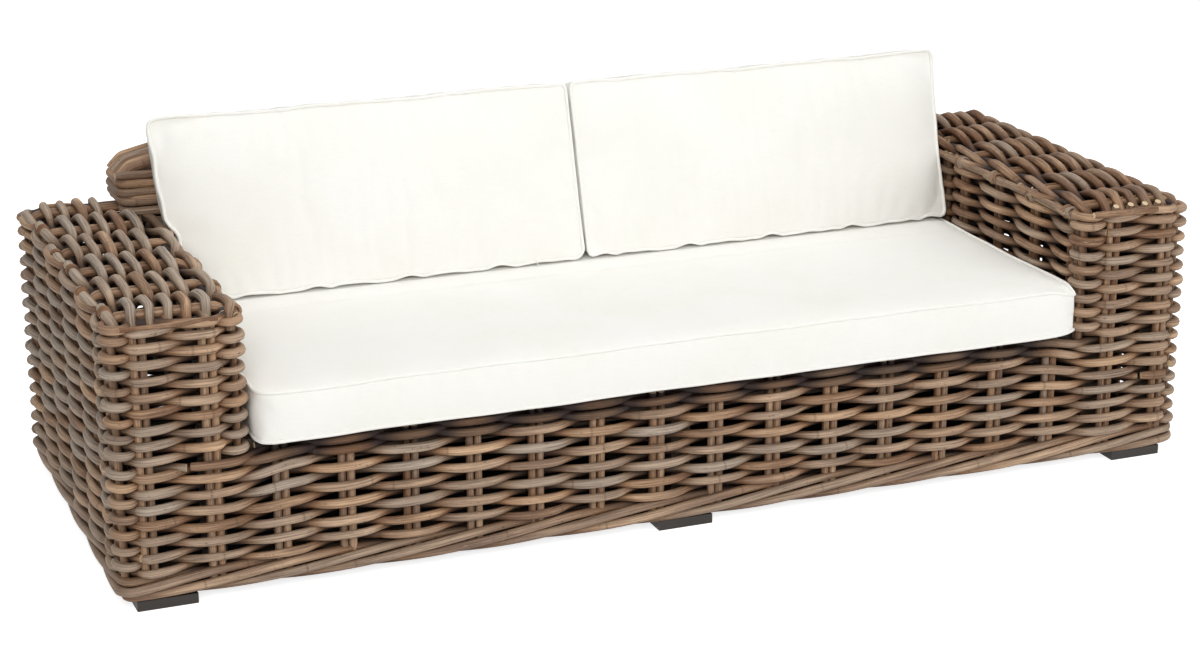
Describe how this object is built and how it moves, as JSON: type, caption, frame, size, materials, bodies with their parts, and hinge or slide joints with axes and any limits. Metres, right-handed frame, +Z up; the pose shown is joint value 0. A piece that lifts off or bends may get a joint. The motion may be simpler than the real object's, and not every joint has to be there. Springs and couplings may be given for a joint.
{
  "type": "rattan garden sofa",
  "caption": "Deep woven rattan garden sofa with wide hollow arms, a low woven back, a box seat cushion, loose back cushions and flat block feet.",
  "frame": {"origin": "on the floor under the middle of the sofa's footprint", "axes": "+X to the right seen from the front, +Y from the front to the back, +Z up"},
  "size_m": [2.3, 0.906, 0.7784],
  "materials": {
    "rattan": "weathered grey-brown rattan, satin",
    "timber": "planed, unfinished",
    "dark_wood": "stained dark, matt",
    "canvas": "cream cotton canvas, matt",
    "zip": "woven zip tape",
    "foam": "open-cell foam"
  },
  "bodies": {
    "frame": {"back_centre_post": "timber", "back_front_weave": "rattan", "back_left_post": "timber", "back_right_post": "timber", "back_top_rail": "timber", "back_top_weave": "rattan", "base_centre_rail": "timber", "base_front_rail": "timber", "base_left_rail": "timber", "base_rear_rail": "timber", "base_right_rail": "timber", "front_centre_foot": "dark_wood", "front_left_foot": "dark_wood", "front_right_foot": "dark_wood", "front_weave": "rattan", "left_arm_front_crossrail": "timber", "left_arm_front_weave": "rattan", "left_arm_inner_rail": "timber", "left_arm_inner_weave": "rattan", "left_arm_outer_rail": "timber", "left_arm_top_weave": "rattan", "left_front_inner_post": "timber", "left_front_outer_post": "timber", "left_rear_inner_post": "timber", "left_rear_outer_post": "timber", "left_side_weave": "rattan", "rear_centre_foot": "dark_wood", "rear_left_foot": "dark_wood", "rear_right_foot": "dark_wood", "rear_weave": "rattan", "right_arm_front_crossrail": "timber", "right_arm_front_weave": "rattan", "right_arm_inner_rail": "timber", "right_arm_inner_weave": "rattan", "right_arm_outer_rail": "timber", "right_arm_top_weave": "rattan", "right_front_inner_post": "timber", "right_front_outer_post": "timber", "right_rear_inner_post": "timber", "right_rear_outer_post": "timber", "right_side_weave": "rattan", "seat_front_centre_post": "timber", "seat_front_rail": "timber", "seat_rear_rail": "timber", "seat_slat_1": "timber", "seat_slat_2": "timber", "seat_slat_3": "timber", "seat_slat_4": "timber", "seat_slat_5": "timber", "seat_slat_6": "timber"},
    "seat_cushion": {"seat_cushion_cover": "canvas", "seat_cushion_foam": "foam", "seat_cushion_zip": "zip"},
    "back_cushion_left": {"back_cushion_left_cover": "canvas", "back_cushion_left_foam": "foam", "back_cushion_left_zip": "zip"},
    "back_cushion_right": {"back_cushion_right_cover": "canvas", "back_cushion_right_foam": "foam", "back_cushion_right_zip": "zip"}
  },
  "joints": [
    {"name": "seat_cushion_lift", "type": "slide", "parent": "frame", "child": "seat_cushion", "axis": [0, 0, 1], "range_m": [0, 0.35]},
    {"name": "back_cushion_left_lift", "type": "slide", "parent": "seat_cushion", "child": "back_cushion_left", "axis": [0, 0, 1], "range_m": [0, 0.45]},
    {"name": "back_cushion_right_lift", "type": "slide", "parent": "seat_cushion", "child": "back_cushion_right", "axis": [0, 0, 1], "range_m": [0, 0.45]}
  ]
}
